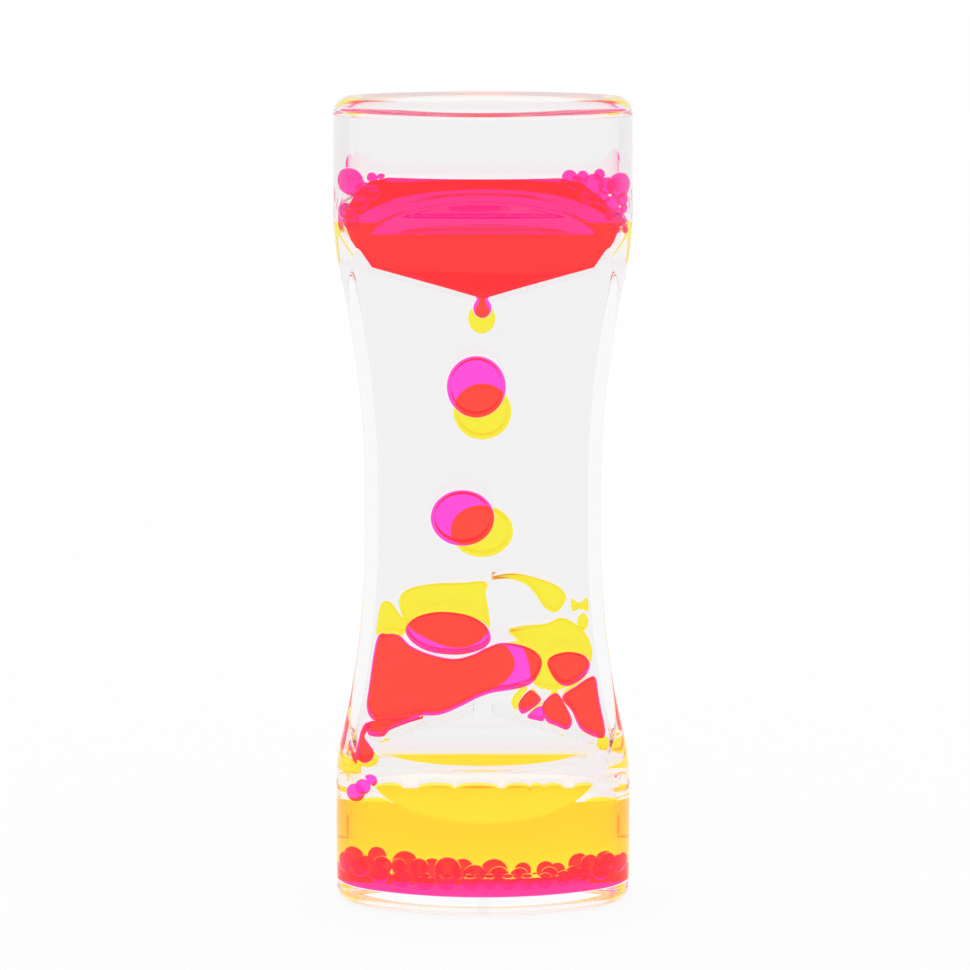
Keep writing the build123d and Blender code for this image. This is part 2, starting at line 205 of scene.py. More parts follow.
def see_through(name, ratio, ripple_scale, ripple_height, haze=0.0):
    """A transparent material with its ripple, and its shader for more to be set."""
    material = bpy.data.materials.new(name)
    material.use_nodes = True
    tree = material.node_tree
    shader = tree.nodes["Principled BSDF"]
    shader.inputs["IOR"].default_value = ratio
    shader.inputs["Transmission Weight"].default_value = 1.0
    ripple = tree.nodes.new("ShaderNodeGroup")
    ripple.node_tree = RIPPLE
    ripple.inputs["Scale"].default_value = ripple_scale
    ripple.inputs["Height"].default_value = ripple_height
    ripple.inputs["Haze"].default_value = haze
    tree.links.new(ripple.outputs["Normal"], shader.inputs["Normal"])
    shader.inputs["Roughness"].default_value = 0.0
    if haze > 0:
        tree.links.new(ripple.outputs["Roughness"], shader.inputs["Roughness"])
    return material, shader


def clear(name, tint, ratio, haze=0.0):
    """A clear finish of one tint."""
    material, shader = see_through(name, ratio, MOULDING_SCALE, MOULDING_HEIGHT, haze)
    shader.inputs["Base Color"].default_value = (*tint, 1)
    return material


HOUSING_FINISH = clear("clear_acrylic", (0.955, 0.945, 0.95), PLASTIC_INDEX / AIR_INDEX, HOUSING_HAZE)
CHAMBER_FINISH = clear("clear_oil", (0.945, 0.945, 0.95), CLEAR_LIQUID_INDEX / PLASTIC_INDEX)
DIVIDER_FINISH = clear("divider_acrylic", (0.985, 0.985, 0.985), PLASTIC_INDEX / CLEAR_LIQUID_INDEX)
PLUG_FINISH = clear("plug_acrylic", (0.97, 0.97, 0.97), PLUG_INDEX / PLASTIC_INDEX)
clear_finishes = (HOUSING_FINISH, CHAMBER_FINISH, DIVIDER_FINISH, PLUG_FINISH)
print("clear finishes", [finish.name for finish in clear_finishes])

# %% [markdown]
# ## Finishes: dyed liquid
# The dyes in such timers are fluorescent, so their red stays bright even where little light comes
# through. A faint painted glow stands for that: an emission in the shader, which shines whatever light
# reaches the dye. Magenta lets red and blue through and yellow lets red and green through, so red is
# what both let through where they overlap. The deep pools are darker and have more painted glow than
# the thin blobs, so they have finishes of their own, and a part of each dye is an absorption that
# grows with the path.

# %% Dyed finishes
DYE_RIPPLE_SCALE, DYE_RIPPLE_HEIGHT = 70.0, 2e-5
DRIFT_SCALE = 120.0


def dyed(name, pale, deep, stain, stain_density, glow, glow_strength):
    """A dyed finish: a tint where light enters and leaves, a stain that grows with depth, and a painted
    glow.
    """
    ratio = DYED_LIQUID_INDEX / CLEAR_LIQUID_INDEX
    material, shader = see_through(name, ratio, DYE_RIPPLE_SCALE, DYE_RIPPLE_HEIGHT)
    tree = material.node_tree
    drift = tree.nodes.new("ShaderNodeGroup")
    drift.node_tree = DRIFT
    drift.inputs["Pale"].default_value = (*pale, 1)
    drift.inputs["Deep"].default_value = (*deep, 1)
    drift.inputs["Scale"].default_value = DRIFT_SCALE
    tree.links.new(drift.outputs["Color"], shader.inputs["Base Color"])
    # The glow is painted light: an emission that brightens the dye whatever light reaches it.
    shader.inputs["Emission Color"].default_value = (*glow, 1)
    shader.inputs["Emission Strength"].default_value = glow_strength
    volume = tree.nodes.new("ShaderNodeVolumeAbsorption")
    volume.inputs["Color"].default_value = (*stain, 1)
    volume.inputs["Density"].default_value = stain_density
    tree.links.new(volume.outputs["Volume"], tree.nodes["Material Output"].inputs["Volume"])
    return material


MAGENTA_FINISH = dyed(
    "magenta_dye", pale=(1.0, 0.068, 0.84), deep=(1.0, 0.054, 0.80),
    stain=(1.0, 0.3, 0.6), stain_density=20.0, glow=(1.0, 0.0, 0.05), glow_strength=0.055,
)
DEEP_MAGENTA_FINISH = dyed(
    "magenta_deep_dye", pale=(1.0, 0.046, 0.56), deep=(1.0, 0.030, 0.47),
    stain=(1.0, 0.3, 0.45), stain_density=45.0, glow=(1.0, 0.0, 0.08), glow_strength=0.075,
)
YELLOW_FINISH = dyed(
    "yellow_dye", pale=(1.0, 0.94, 0.035), deep=(1.0, 0.91, 0.02),
    stain=(1.0, 0.95, 0.0), stain_density=8.0, glow=(1.0, 0.5, 0.0), glow_strength=0.03,
)
DEEP_YELLOW_FINISH = dyed(
    "yellow_deep_dye", pale=(1.0, 0.84, 0.03), deep=(1.0, 0.78, 0.015),
    stain=(1.0, 0.85, 0.0), stain_density=25.0, glow=(1.0, 0.48, 0.0), glow_strength=0.14,
)
dyed_finishes = (MAGENTA_FINISH, DEEP_MAGENTA_FINISH, YELLOW_FINISH, DEEP_YELLOW_FINISH)
print("dyed finishes", [finish.name for finish in dyed_finishes])

# %% [markdown]
# ## The housing's section
# Seen from above the housing is an oval of four arcs. Its two sides are drawn in to a waist, and its
# front and back are cut flat, with a hollow shoulder at each end of the cut. So at any height the
# section is the oval, cut by two side planes and two window planes, with soft moulded corners. One
# function gives the distance from the axis to that section in any direction, for any wall inset.

# %% Section of the housing
END_ROUND = 11.5
WAIST_STEP, WAIST_UPRIGHT, WAIST_RADIUS, WAIST_SOFTNESS = 5.5, 8.0, 150.0, 1.2
WINDOW_DEPTH, SHOULDER_RADIUS, SHOULDER_SETBACK = 15.7, 18.0, 16.2
CORNER_SOFTNESS, CREASE_SOFTNESS, CREASE_ONSET = 1.1, 0.25, 1.5
NEAREST_CORNER = 12.0

SHOULDER_SWEEP = SHOULDER_RADIUS * sin(acos(1 - (DEPTH - WINDOW_DEPTH) / 2 / SHOULDER_RADIUS))
SHOULDER_FOOT = MIDDLE - SHOULDER_SETBACK - SHOULDER_SWEEP
FLANK_ROUND = ((WIDTH / 2) ** 2 + (DEPTH / 2) ** 2 - WIDTH * END_ROUND) / (DEPTH - END_ROUND * 2)
END_CENTRE = WIDTH / 2 - END_ROUND
FLANK_CENTRE = FLANK_ROUND - DEPTH / 2


def softer(a, b, softness):
    """The smaller of two values, with a soft turn where they cross."""
    closeness = max(softness - abs(a - b), 0) / softness
    return min(a, b) - closeness**2 * softness / 4


def side_reach(z, inset):
    """Half the width between the waist's side planes."""
    beyond = max(abs(z - MIDDLE) - WAIST_UPRIGHT / 2, 0)
    radius = WAIST_RADIUS + inset
    waist = WIDTH / 2 - WAIST_STEP - inset + radius - sqrt(radius**2 - beyond**2)
    return softer(waist, WIDTH / 2 - inset, WAIST_SOFTNESS)


def front_reach(z, inset):
    """Half the depth between the windows, or between the hollow shoulders past them."""
    beyond = max(abs(z - MIDDLE) - SHOULDER_FOOT, 0)
    radius = SHOULDER_RADIUS + inset
    if beyond >= radius:
        return inf
    return WINDOW_DEPTH / 2 + SHOULDER_RADIUS - sqrt(radius**2 - beyond**2)


@lru_cache(maxsize=None)
def oval_meeting(inset):
    """Where the oval's round end meets its long flank."""
    reach = hypot(END_CENTRE, FLANK_CENTRE)
    radius = END_ROUND - inset
    return END_CENTRE * (1 + radius / reach), FLANK_CENTRE * radius / reach


def oval_reach(angle, inset):
    """Distance from the axis to the oval, in a direction in its first quarter."""
    meeting_x, meeting_y = oval_meeting(inset)
    if angle < atan2(meeting_y, meeting_x):
        centre, radius = (END_CENTRE, 0), END_ROUND - inset
    else:
        centre, radius = (0, -FLANK_CENTRE), FLANK_ROUND - inset
    along = centre[0] * cos(angle) + centre[1] * sin(angle)
    return along + sqrt(along**2 - centre[0] ** 2 - centre[1] ** 2 + radius**2)


def oval_half_width(y, inset):
    """Half the oval's width at a distance in front of its middle line."""
    if y < oval_meeting(inset)[1]:
        return END_CENTRE + sqrt((END_ROUND - inset) ** 2 - y**2)
    return sqrt(max((FLANK_ROUND - inset) ** 2 - (y + FLANK_CENTRE) ** 2, 0))


@lru_cache(maxsize=None)
def corner_angle(z, inset):
    """Direction of the upright corner between a window or shoulder and the housing's side."""
    front = front_reach(z, inset)
    crossing = oval_half_width(front, inset) if front < DEPTH / 2 - inset else 0
    x = min(max(crossing, NEAREST_CORNER), side_reach(z, inset))
    flank = sqrt((FLANK_ROUND - inset) ** 2 - x**2) - FLANK_CENTRE
    if x > oval_meeting(inset)[0]:
        flank = sqrt(max((END_ROUND - inset) ** 2 - (x - END_CENTRE) ** 2, 0))
    return atan2(min(flank, front), x)


def crease_height(x, inset):
    """Height at which a lower shoulder ends on the oval, at a distance from the middle."""
    flank = sqrt((FLANK_ROUND - inset) ** 2 - x**2) - FLANK_CENTRE
    sweep = (SHOULDER_RADIUS + inset) ** 2 - (WINDOW_DEPTH / 2 + SHOULDER_RADIUS - flank) ** 2
    return MIDDLE - SHOULDER_FOOT - sqrt(sweep)


def section_reach(angle, z, inset):
    """Distance from the axis to the housing's section, in a direction in its first quarter."""
    reach = oval_reach(angle, inset)
    across, outward = cos(angle), sin(angle)
    if across > SEAM:
        reach = softer(reach, side_reach(z, inset) / across, CORNER_SOFTNESS)
    if outward > SEAM and front_reach(z, inset) < inf:
        beyond = max(abs(z - MIDDLE) - SHOULDER_FOOT, 0) / SHOULDER_SWEEP
        crispness = min(beyond * CREASE_ONSET, 1)
        softness = CORNER_SOFTNESS + (CREASE_SOFTNESS - CORNER_SOFTNESS) * crispness
        reach = softer(reach, front_reach(z, inset) / outward, softness)
    return reach


print("shoulders end", round(MIDDLE - SHOULDER_FOOT, 1), "mm above the base")

# %% [markdown]
# ## Skins rolled from a grid
# A moulded form like this could be carved with booleans, but those leave ragged triangles just where
# clear plastic shows every one. So a flat grid is rolled round the axis instead: each of its columns
# follows a direction, each row a height, and both are closest together where the form turns. The
# columns bunch at the upright corners, so that every straight edge of the windows has its own column,
# and the rows near a crease bend so that one of them runs along it.

# %% Roll a skin
SIDE_COLUMNS, WINDOW_COLUMNS = 52, 26
QUARTER = SIDE_COLUMNS + WINDOW_COLUMNS
COLUMNS = QUARTER * 4
RIM_ROWS = 8
FINE_ROW, COARSE_ROW = 0.36, 1.1
SHOULDER_ZONE = (13.2, 32.0)
CREASE_PULL = 6.0
ROW_MARGIN = 1.5
SIDE_BUNCHING, WINDOW_BUNCHING = 1.5, 1.7


def climb(start, end, step):
    """Heights from just above a start up to an end, about a step apart."""
    count = max(round((end - start) / step), 1)
    return [start + (end - start) * i / count for i in range(1, count + 1)]


def row_heights(low, inset):
    """Heights of a skin's rows, close together across the shoulders, with one row for each crease."""
    fine_low, fine_high = SHOULDER_ZONE
    foot = [low, fine_low, crease_height(NEAREST_CORNER, inset), fine_high]
    zones = foot + [HEIGHT - z for z in reversed(foot)]
    steps = [COARSE_ROW, FINE_ROW, FINE_ROW, COARSE_ROW, FINE_ROW, FINE_ROW, COARSE_ROW]
    heights = [low]
    for start, end, step in zip(zones, zones[1:], steps):
        heights += climb(start, end, step)
    return heights


def rows_with_rims(foot, rim, inset):
    """Each row's height and how far it is drawn in, with quarter rounds at both ends."""
    turns = [pi / 2 * i / RIM_ROWS for i in range(RIM_ROWS)]
    lower = [(foot + rim * (1 - cos(t)), rim * (1 - sin(t))) for t in turns]
    upper = [(HEIGHT - z, drawn) for z, drawn in reversed(lower)]
    return lower + [(z, 0) for z in row_heights(foot + rim, inset)] + upper


def bend_to_crease(z, x, inset):
    """A row's height at a distance from the middle, bent where it lies near a crease."""
    lower = min(z, HEIGHT - z)
    home = crease_height(NEAREST_CORNER, inset)
    pull = max(1 - abs(lower - home) / CREASE_PULL, 0)
    bent = lower + (crease_height(min(x, NEAREST_CORNER), inset) - home) * pull
    return bent if z < MIDDLE else HEIGHT - bent


def column_direction(column, corner):
    """A column's direction round the axis, with columns bunched at the corners."""
    quarter, step = divmod(column % COLUMNS, QUARTER)
    step = step if quarter % 2 == 0 else QUARTER - step
    if step <= SIDE_COLUMNS:
        angle = corner * (1 - (1 - step / SIDE_COLUMNS) ** SIDE_BUNCHING)
    else:
        share = ((step - SIDE_COLUMNS) / WINDOW_COLUMNS) ** WINDOW_BUNCHING
        angle = corner + (pi / 2 - corner) * share
    return angle, (1 if quarter in (0, 3) else -1), (1 if quarter in (0, 1) else -1)


def roll_skin(foot, inset, rim, low=0.0, high=HEIGHT):
    """The housing's form, drawn in by an inset and starting at a foot height, as a closed bmesh."""
    rows = rows_with_rims(foot, rim, inset)
    rows = [row for row in rows if low - ROW_MARGIN < row[0] < high + ROW_MARGIN]
    bm = bmesh.new()
    bmesh.ops.create_grid(bm, x_segments=COLUMNS, y_segments=len(rows) - 1, size=0.5)
    for v in bm.verts:
        z, drawn = rows[round((v.co.y + 0.5) * (len(rows) - 1))]
        depth = round(inset + drawn, 6)
        column = round((v.co.x + 0.5) * COLUMNS)
        angle, right, back = column_direction(column, corner_angle(z, depth))
        x = section_reach(angle, z, depth) * cos(angle)
        if drawn == 0:
            z = bend_to_crease(z, x, depth)
        reach = section_reach(angle, z, depth)
        v.co = (right * reach * cos(angle), back * reach * sin(angle), z)
    bmesh.ops.remove_doubles(bm, verts=bm.verts, dist=SEAM)
    bmesh.ops.holes_fill(bm, edges=bm.edges, sides=0)
    bmesh.ops.recalc_face_normals(bm, faces=bm.faces)
    return bm


print("a skin has", COLUMNS, "columns")

# %% [markdown]
# ## Housing and chambers
# The real housing is two shells welded round a divider. Their joint can't be seen, so one skin with
# rounded rims stands for both outsides. A second skin, a wall's thickness further in, is where the
# liquid begins. It stands for all the clear liquid in both chambers.

# %% Housing and chamber skins
WALL, END_WALL = 2.1, 3.0
RIM_ROUND = 2.6
CHAMBER_RIM_ROUND = 0.7

keep(
    "housing_skin", roll_skin(0, 0, RIM_ROUND), HOUSING_FINISH,
    replaces=("front_shell", "back_shell"),
)
keep(
    "chamber_liquid", roll_skin(END_WALL, WALL, CHAMBER_RIM_ROUND), CHAMBER_FINISH,
    replaces=("front_clear_liquid", "back_clear_liquid"),
)

# %% [markdown]
# ## The divider and its ledges
# A thin clear plate parts the chambers. On both its faces two ledges slope to a slot, and two more
# make a roof below. All of it is cut from a skin just inside the chamber's wall, one plane at a time,
# as a sheet would be cut with a saw, so its edges follow the wall wherever they reach it. Each ledge
# reaches a little into the plate, because a ray can't tell two faces apart that lie in one plane.

# %% Divider and ledges
DIVIDER = 1.0
WALL_FILM = 0.06
SLAB_FOOT = END_WALL + WALL_FILM
TRAY_HEIGHT, TRAY_RISE, TRAY_SPAN, TRAY_THICKNESS = 102.2, 5.6, 38.0, 0.9
SLOT_WIDTH = 3.0
LEDGE_SLOPE = TRAY_RISE / (TRAY_SPAN / 2)
LEDGE_ROOT = 0.08


def saw(bm, place, waste):
    """Cuts a closed form at a plane and throws away what lies on the waste's side."""
    geometry = bm.verts[:] + bm.edges[:] + bm.faces[:]
    bmesh.ops.bisect_plane(bm, geom=geometry, plane_co=place, plane_no=waste, clear_outer=True)
    rim = [e for e in bm.edges if len(e.link_faces) == 1]
    bmesh.ops.holes_fill(bm, edges=rim, sides=0)
    bmesh.ops.recalc_face_normals(bm, faces=bm.faces)


def sawn_slab(low, high, near, far):
    """A slab of the chamber's space between two levels and between two upright planes."""
    bm = roll_skin(SLAB_FOOT, WALL + WALL_FILM, CHAMBER_RIM_ROUND, low, high)
    if low > SLAB_FOOT:
        saw(bm, (0, 0, low), (0, 0, -1))
    if high < HEIGHT - SLAB_FOOT:
        saw(bm, (0, 0, high), (0, 0, 1))
    saw(bm, (0, near, 0), (0, -1, 0))
    saw(bm, (0, far, 0), (0, 1, 0))
    return bm


def add_copy(target, source):
    """Adds one bmesh to another."""
    scratch = bpy.data.meshes.new("scratch")
    source.to_mesh(scratch)
    source.free()
    target.from_mesh(scratch)
    bpy.data.meshes.remove(scratch)


def ledge(side, right, upper):
    """One sloping ledge, from the drip slot outwards, on one face of the divider."""
    top = TRAY_HEIGHT if upper else HEIGHT - TRAY_HEIGHT + TRAY_THICKNESS
    slope = right * LEDGE_SLOPE * (1 if upper else -1)
    reach = TRAY_RISE + TRAY_THICKNESS
    low, high = top - reach, top + reach
    near, far = sorted((side * (DIVIDER / 2 - LEDGE_ROOT), side * DEPTH / 2))
    bm = sawn_slab(low, high, near, far)
    saw(bm, (0, 0, top), (-slope, 0, 1))
    saw(bm, (0, 0, top - TRAY_THICKNESS), (slope, 0, -1))
    saw(bm, (right * SLOT_WIDTH / 2, 0, 0), (-right, 0, 0))
    saw(bm, (right * TRAY_SPAN / 2, 0, 0), (right, 0, 0))
    return bm


plate = sawn_slab(SLAB_FOOT, HEIGHT - SLAB_FOOT, -DIVIDER / 2, DIVIDER / 2)
for ledge_side in (FRONT, BACK):
    for ledge_right in (-1, 1):
        for ledge_upper in (True, False):
            add_copy(plate, ledge(ledge_side, ledge_right, ledge_upper))
keep("divider_plate", plate, DIVIDER_FINISH, replaces=("divider",))

# %% [markdown]
# ## Filling plugs
# Each chamber is filled through a hole in the base, which a stepped clear plug closes. A real plug is
# glued in, so only a faint outline shows. It is a profile spun round, drawn a hair short of both
# faces of the base, where its own faces would otherwise lie in one plane with them.

# %% Plugs
PLUG_SIDES = 48
PLUG_STEM, PLUG_STEM_TOP = 0.8, 2.8
PLUG_HEAD, PLUG_FOOT, PLUG_SHOULDER = 1.3, 0.12, 0.7
PLUG_PLACE = 5.6
PLUG_PROFILE = [
    (0, PLUG_FOOT), (PLUG_HEAD, PLUG_FOOT), (PLUG_HEAD, PLUG_SHOULDER), (PLUG_STEM, PLUG_SHOULDER),
    (PLUG_STEM, PLUG_STEM_TOP), (0, PLUG_STEM_TOP),
]


def spun(profile, x, y, steps):
    """A closed form spun round an upright axis from a profile of (radius, height) points."""
    bm = bmesh.new()
    line = [bm.verts.new((x + radius, y, z)) for radius, z in profile]
    edges = [bm.edges.new(pair) for pair in zip(line, line[1:])]
    bmesh.ops.spin(
        bm, geom=line + edges, cent=(x, y, 0), axis=(0, 0, 1), angle=tau, steps=steps, use_merge=True
    )
    bmesh.ops.remove_doubles(bm, verts=bm.verts, dist=SEAM)
    bmesh.ops.recalc_face_normals(bm, faces=bm.faces)
    return bm


for plug_name, plug_side in (("front", FRONT), ("back", BACK)):
    plug_form = keep(
        plug_name + "_plug_form", spun(PLUG_PROFILE, 0, plug_side * PLUG_PLACE, PLUG_SIDES), PLUG_FINISH,
        replaces=(plug_name + "_fill_plug",),
    )
    plug_form.data.shade_flat()

# %% [markdown]
# ## The pools
# Dyed liquid stands in the V of each upper tray and on the floor of each chamber. Each pool is the
# chamber's own space, sawn at the liquid's level and, above, along the two ledges. The magenta pool's
# ends don't reach the wall: surface tension holds them back in a round, which a few more cuts make.

# %% Upper and lower pools
CHAMBER_NEAR = DIVIDER / 2 + WALL_FILM
MAGENTA_TOP, YELLOW_TOP = 122.6, 114.4
YELLOW_LOW, MAGENTA_LOW = 17.0, 6.3
POOL_FOOT, POOL_FOOT_SLOPE = (18.2, 107.6), 1.6
MAGENTA_ENDS = [
    (-15.4, 122.5, -0.25, 1), (-18.0, 121.9, -0.9, 1), (-20.4, 119.4, -2.2, 1), (-21.6, 115.0, -1, 0),
    (-20.6, 111.0, -3.0, -1), (-19.4, 109.2, -1.4, -1), (12.6, 122.5, 0.25, 1), (15.8, 121.7, 0.9, 1),
    (19.6, 118.2, 1.8, 1), (21.6, 113.6, 1, 0), (20.4, 110.6, 3.0, -1), (19.4, 109.0, 1.4, -1),
]


def chamber_span(side):
    """Near and far planes of one chamber's liquid."""
    return sorted((side * CHAMBER_NEAR, side * DEPTH / 2))


def upper_pool(side, level, ends=()):
    """Liquid that stands in the V above the ledges, with its ends cut at (x, z, run, rise)."""
    bm = sawn_slab(TRAY_HEIGHT, level, *chamber_span(side))
    for right in (-1, 1):
        saw(bm, (0, 0, TRAY_HEIGHT + WALL_FILM), (right * LEDGE_SLOPE, 0, -1))
        saw(bm, (right * POOL_FOOT[0], 0, POOL_FOOT[1]), (right * POOL_FOOT_SLOPE, 0, -1))
    for x, z, run, rise in ends:
        saw(bm, (x, 0, z), (run, 0, rise))
    return bm


def lower_pool(side, level):
    """Liquid that covers one chamber's floor."""
    return sawn_slab(SLAB_FOOT, level, *chamber_span(side))


def keep_liquid(name, bm, finish, nodes=(), body="housing"):
    """A finished piece of dyed liquid, in the finish it is given."""
    keep(name, bm, finish, replaces=nodes, body=body)


keep_liquid(
    "magenta_tray_pool", upper_pool(FRONT, MAGENTA_TOP, MAGENTA_ENDS), DEEP_MAGENTA_FINISH,
    ["magenta_upper_pool"],
)
keep_liquid("yellow_tray_pool", upper_pool(BACK, YELLOW_TOP), YELLOW_FINISH, ["yellow_upper_pool"])
keep_liquid("yellow_floor_pool", lower_pool(BACK, YELLOW_LOW), DEEP_YELLOW_FINISH, ["yellow_lower_pool"])

# %% [markdown]
# ## Blobs pressed flat
# A blob that fills a chamber from face to face looks like a puck: its outline is free, but its two
# faces are flat against the plastic. Each starts as a disc whose rim is moved on to a smooth curve
# through a few chosen points. It is then pulled through the chamber's depth, and a few small insets
# on each face round its edges over.

# %% Press a blob
FACE_FILM = 0.12
CURVE_STEPS = 7
EDGE_STEPS = 5
FLAT_MARGIN = 0.03
BLOB_EDGE, DROP_EDGE = 0.34, 0.6
THIN_EDGE_SHARE = 0.13
WINDOW_REACH = WINDOW_DEPTH / 2 - WALL
OVAL_POINTS = 12


def curve_point(points, share):
    """A point on a smooth closed curve through some points, at a share of its way round."""
    place = share * len(points)
    i, t = int(place), place % 1
    a, b, c, d = (Vector(points[(i + k) % len(points)]) for k in (-1, 0, 1, 2))
    turn = (c - a) * t + (a * 2 - b * 5 + c * 4 - d) * t**2 + (b * 3 - a - c * 3 + d) * t**3
    return b + turn / 2


def round_over(bm, face, radius):
    """Rounds the edge of a flat face over, a small inset at a time."""
    turns = [pi / 2 * i / EDGE_STEPS for i in range(EDGE_STEPS + 1)]
    for start, end in zip(turns, turns[1:]):
        bmesh.ops.inset_region(
            bm, faces=[face], use_even_offset=True,
            thickness=radius * (cos(start) - cos(end)), depth=radius * (sin(end) - sin(start)),
        )
    bmesh.ops.inset_region(bm, faces=[face], use_even_offset=True, thickness=FLAT_MARGIN)


def puck(bm, outline, near, far, edge):
    """A closed puck between two upright planes, added to a bmesh."""
    count = len(outline) * CURVE_STEPS
    made = bmesh.ops.create_circle(bm, cap_ends=True, segments=count, radius=1)["verts"]
    for v in made:
        x, z = curve_point(outline, atan2(v.co.y, v.co.x) / tau % 1)
        v.co = (x, near + edge, z)
    face = made[0].link_faces[0]
    pulled = bmesh.ops.extrude_face_region(bm, geom=[face])["geom"]
    ends = [g for g in pulled if isinstance(g, bmesh.types.BMVert)]
    bmesh.ops.translate(bm, verts=ends, vec=(0, far - near - edge * 2, 0))
    whole = list(dict.fromkeys(f for v in made + ends for f in v.link_faces))
    bmesh.ops.recalc_face_normals(bm, faces=whole)
    for cap in [f for f in whole if len(f.verts) == count]:
        round_over(bm, cap, edge)


def thinness(outline):
    """How thick an outline is across, from its area and its length round."""
    pairs = list(zip(outline, outline[1:] + outline[:1]))
    area = abs(sum(a[0] * b[1] - a[1] * b[0] for a, b in pairs)) / 2
    return 2 * area / sum(hypot(b[0] - a[0], b[1] - a[1]) for a, b in pairs)


def pucks(outlines, side, edge=BLOB_EDGE):
    """Several pucks in one chamber, as one bmesh, with a finer edge on the thin ones."""
    near, far = sorted((side * (DIVIDER / 2 + FACE_FILM), side * (WINDOW_REACH - FACE_FILM)))
    bm = bmesh.new()
    for outline in outlines:
        puck(bm, outline, near, far, min(edge, THIN_EDGE_SHARE * thinness(outline)))
    return bm


def oval(x, z, half_width, half_height):
    """Outline of an upright oval."""
    turns = [tau * i / OVAL_POINTS for i in range(OVAL_POINTS)]
    return [(x + half_width * cos(t), z + half_height * sin(t)) for t in turns]


print("blobs reach from", DIVIDER / 2 + FACE_FILM, "to", WINDOW_REACH - FACE_FILM, "mm")

# %% [markdown]
# ## Falling drops
# Two drops fall in each chamber. They are the timer's moving parts, so each rides on its own body
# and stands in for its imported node.

# %% Drops that fall
DROPS = [
    ("magenta_upper_drop", FRONT, MAGENTA_FINISH, (-1.1, 87.6, 4.9, 5.15)),
    ("magenta_lower_drop", FRONT, MAGENTA_FINISH, (-3.4, 65.7, 5.3, 4.7)),
    ("yellow_upper_drop", BACK, YELLOW_FINISH, (-0.1, 82.9, 4.85, 4.7)),
    ("yellow_lower_drop", BACK, YELLOW_FINISH, (-0.2, 62.8, 5.25, 4.4)),
]
for drop_node, drop_side, drop_finish, drop_shape in DROPS:
    drop = pucks([oval(*drop_shape)], drop_side, DROP_EDGE)
    keep_liquid(drop_node + "_form", drop, drop_finish, [drop_node], body=drop_node)

# %% [markdown]
# ## Blobs on the roof
# What has fallen lies on the roof in blobs that haven't merged. Their outlines are taken from the
# picture, as places on the plane where each chamber's liquid seems to lie, seen through the plastic.

# %% Outlines of the blobs
SEEN_PLANE = {FRONT: 4.6, BACK: 0.4}

MAGENTA_BLOBS_PX = [
    [(377, 637), (388, 632), (400, 634), (411, 644), (429, 652), (453, 657), (472, 653), (489, 645),
     (502, 641), (522, 643.5), (537, 651), (542, 662), (536, 677), (527, 684), (512, 688), (493, 691),
     (478, 696), (460, 705), (440, 713), (419, 714), (395, 717), (374, 718), (367, 706), (369, 685)],
    [(405.5, 629), (411, 619), (424, 612.5), (443, 610), (468, 613.5), (485, 623), (491, 636),
     (485, 645.5), (471, 651), (453, 653), (430, 650), (413, 641)],
    [(547, 662), (553, 653.5), (569, 650), (584, 653.5), (590, 663), (585, 674), (574, 682),
     (563.5, 684), (554, 677)],
    [(590, 675), (596, 677), (599, 697), (605, 729), (600, 737), (581, 728), (572, 710), (562, 695),
     (576, 684)],
    [(542, 703), (555, 691), (564, 701), (572, 719), (567, 728), (556, 724), (546, 719)],
    [(518, 703), (524, 693), (531, 688), (537, 692), (541, 698), (533, 706), (522, 712)],
    [(527, 714), (541, 704), (544, 718), (535, 718)],
    [(366, 721), (385, 717), (421, 715), (408, 721), (391, 728), (383, 735), (370, 734), (367, 728)],
]
YELLOW_BLOBS_PX = [
    [(377, 634), (378, 616), (382, 601), (391, 600.5), (398, 610), (407, 624), (402, 634), (390, 631)],
    [(399, 601), (407, 588), (433, 582), (462, 581), (482, 579.5), (487.5, 583),
     (486, 593), (489, 612), (489, 629), (474, 643), (453, 646), (427, 637.5), (408, 624)],
    [(378, 637), (388, 633), (400, 636), (411, 645), (429, 652.5), (453, 655.5), (474, 651.5),
     (489, 644), (500, 641.5), (509, 648), (515, 663), (508, 677), (495, 686), (478, 694), (460, 703),
     (440, 711), (419, 712), (395, 715), (374, 715), (367, 704), (369, 685)],
    [(508, 629), (522, 624), (545, 622), (562, 616), (579, 625), (589, 637.5), (592, 656), (582, 672),
     (565, 686), (547, 688), (532.5, 680.5), (528, 660), (520.5, 642)],
    [(494, 574.5), (512, 571.5), (532.5, 575), (557, 584), (566, 596), (557, 610), (545, 606.5),
     (536, 594), (526, 583), (510, 577.5), (495, 577.5)],
    [(571, 597), (579, 601), (587, 596), (588, 609), (580, 607), (572, 609)],
    [(577, 618), (583, 611), (588, 617), (586, 627), (579, 628)],
    [(590, 674), (596, 676), (599, 695), (605, 727), (600, 734), (581, 725), (572, 708), (563, 694),
     (576, 684)],
    [(543, 702), (555, 690), (564, 700), (572, 717), (567, 725), (556, 721), (547, 716)],
    [(511, 699), (521, 686), (531, 687), (541, 697), (533, 704), (517, 708)],
    [(366, 719), (385, 715), (421, 713), (408, 719), (391, 726), (383, 731), (370, 730), (367, 726)],
]


def pressed_from(places_px, side):
    """Pucks in one chamber, from outlines in the picture."""
    towards = SEEN_PLANE[side]
    outlines = [[from_picture(place, towards) for place in outline] for outline in places_px]
    return pucks(outlines, side)


magenta_roof = pressed_from(MAGENTA_BLOBS_PX, FRONT)
keep_liquid("magenta_roof_forms", magenta_roof, MAGENTA_FINISH, ["magenta_roof_blobs"])
yellow_roof = pressed_from(YELLOW_BLOBS_PX, BACK)
keep_liquid("yellow_roof_forms", yellow_roof, YELLOW_FINISH, ["yellow_roof_blobs"])

# %% [markdown]
# ## Nozzle drops and drips
# Under each slot hangs the next drop, still joined to its pool by a neck: a profile spun round an
# upright axis. Where liquid runs off a roof's end it makes a drip, pressed flat as the blobs are.

